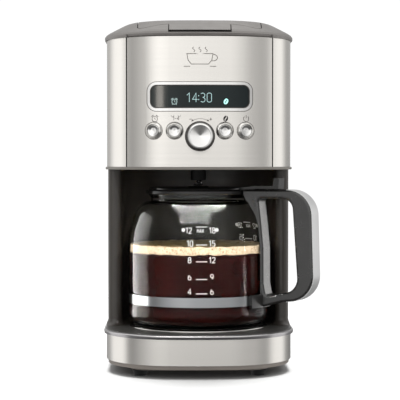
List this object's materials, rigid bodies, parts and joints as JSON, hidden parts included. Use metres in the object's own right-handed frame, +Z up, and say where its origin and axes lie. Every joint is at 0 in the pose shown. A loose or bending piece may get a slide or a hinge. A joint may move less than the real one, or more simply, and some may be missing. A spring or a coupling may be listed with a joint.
{
  "type": "drip coffee maker",
  "caption": "Countertop drip coffee maker with brushed steel head and base, clock display, dial and push buttons, top filling lid and glass carafe on a warming plate",
  "frame": {"origin": "on the table, under the middle of the whole object's bounding box, carafe handle included; the machine's own middle plane is at X = -12.4 mm", "axes": "+X to the right seen from the front, +Y towards the back, +Z up; the front faces -Y"},
  "size_m": [0.2232, 0.2584, 0.3616],
  "materials": {
    "brushed_steel": "brushed",
    "trim_metal": "satin",
    "grey_plastic": "satin",
    "dark_plastic": "satin",
    "black_gloss": "glossy",
    "rubber": "matte",
    "silicone": "matte",
    "jug_glass": "clear",
    "display_glass": "tinted",
    "aluminium": "spun",
    "board": "satin",
    "tank_plastic": "translucent",
    "steel_wire": "bright",
    "nonstick": "satin"
  },
  "bodies": {
    "housing": {"base_pan": "grey_plastic", "rubber_feet": "rubber", "base_band": "brushed_steel", "base_trim_ring": "trim_metal", "base_housing": "dark_plastic", "warming_plate": "nonstick", "plate_ring": "trim_metal", "plate_seal": "silicone", "heater": "aluminium", "heater_clamp": "steel_wire", "thermostat": "steel_wire", "thermal_fuse": "steel_wire", "inlet_hose": "silicone", "outlet_hose": "silicone", "riser_tube": "tank_plastic", "check_valve": "silicone", "hose_clamps": "steel_wire", "column_shell": "dark_plastic", "rear_cover": "dark_plastic", "cord_gland": "rubber", "rear_screws": "steel_wire", "water_tank": "tank_plastic", "front_panel": "brushed_steel", "side_panel_left": "brushed_steel", "side_panel_right": "brushed_steel", "head_frame": "dark_plastic", "head_trim": "grey_plastic", "head_floor": "dark_plastic", "basket_holder": "dark_plastic", "top_cover": "grey_plastic", "lid_hinge_pins": "steel_wire", "display_bezel": "trim_metal", "display_lens": "display_glass", "display_module": "black_gloss", "control_board": "board", "power_board": "board", "button_rings": "trim_metal", "button_switches": "black_gloss", "knob_ring": "black_gloss", "rotary_encoder": "aluminium"},
    "lid": {"top_lid": "grey_plastic", "shower_head": "dark_plastic", "water_duct": "dark_plastic"},
    "carafe": {"carafe_glass": "jug_glass", "carafe_collar": "black_gloss", "carafe_band": "brushed_steel", "handle_insert": "brushed_steel", "carafe_handle": "black_gloss", "handle_screw": "steel_wire", "carafe_lid_pin": "steel_wire"},
    "carafe_cap": {"carafe_lid": "black_gloss"},
    "basket": {"filter_basket": "dark_plastic", "mesh_filter": "steel_wire"},
    "valve": {"drip_valve": "silicone", "drip_spring": "steel_wire"},
    "dial": {"knob": "aluminium"},
    "button_alarm": {"button_alarm": "aluminium"},
    "button_cups": {"button_cups": "aluminium"},
    "button_strength": {"button_strength": "aluminium"},
    "button_power": {"button_power": "aluminium"}
  },
  "joints": [
    {"name": "lid_hinge", "type": "hinge", "parent": "housing", "child": "lid", "pos_m": [-0.0124, 0.0958, 0.3556], "axis": [-1, 0, 0], "range_deg": [0, 100]},
    {"name": "carafe_slide", "type": "slide", "parent": "housing", "child": "carafe", "axis": [0, -1, 0], "range_m": [0, 0.24]},
    {"name": "carafe_lid_hinge", "type": "hinge", "parent": "carafe", "child": "carafe_cap", "pos_m": [0.04422, -0.04682, 0.1846], "axis": [0.4384, 0.8988, 0], "range_deg": [0, 3]},
    {"name": "basket_lift", "type": "slide", "parent": "housing", "child": "basket", "axis": [0, 0, 1], "range_m": [0, 0.02]},
    {"name": "valve_lift", "type": "slide", "parent": "basket", "child": "valve", "axis": [0, 0, 1], "range_m": [0, 0.0037], "deforming": ["drip_spring"]},
    {"name": "knob_turn", "type": "hinge", "parent": "housing", "child": "dial", "pos_m": [-0.0124, -0.1156, 0.2432], "axis": [0, -1, 0], "continuous": true},
    {"name": "button_alarm_press", "type": "slide", "parent": "housing", "child": "button_alarm", "axis": [0.3081, 0.9513, 0], "range_m": [0, 0.0015], "stiffness_N_per_m": 400, "springref_m": -0.001},
    {"name": "button_cups_press", "type": "slide", "parent": "housing", "child": "button_cups", "axis": [0.0842, 0.9965, 0], "range_m": [0, 0.0015], "stiffness_N_per_m": 400, "springref_m": -0.001},
    {"name": "button_strength_press", "type": "slide", "parent": "housing", "child": "button_strength", "axis": [-0.0828, 0.9966, 0], "range_m": [0, 0.0015], "stiffness_N_per_m": 400, "springref_m": -0.001},
    {"name": "button_power_press", "type": "slide", "parent": "housing", "child": "button_power", "axis": [-0.3025, 0.9531, 0], "range_m": [0, 0.0015], "stiffness_N_per_m": 400, "springref_m": -0.001}
  ],
  "couplings": [
    {"joint": "valve_lift", "follows": "carafe_lid_hinge", "m_per_rad": 0.07}
  ]
}
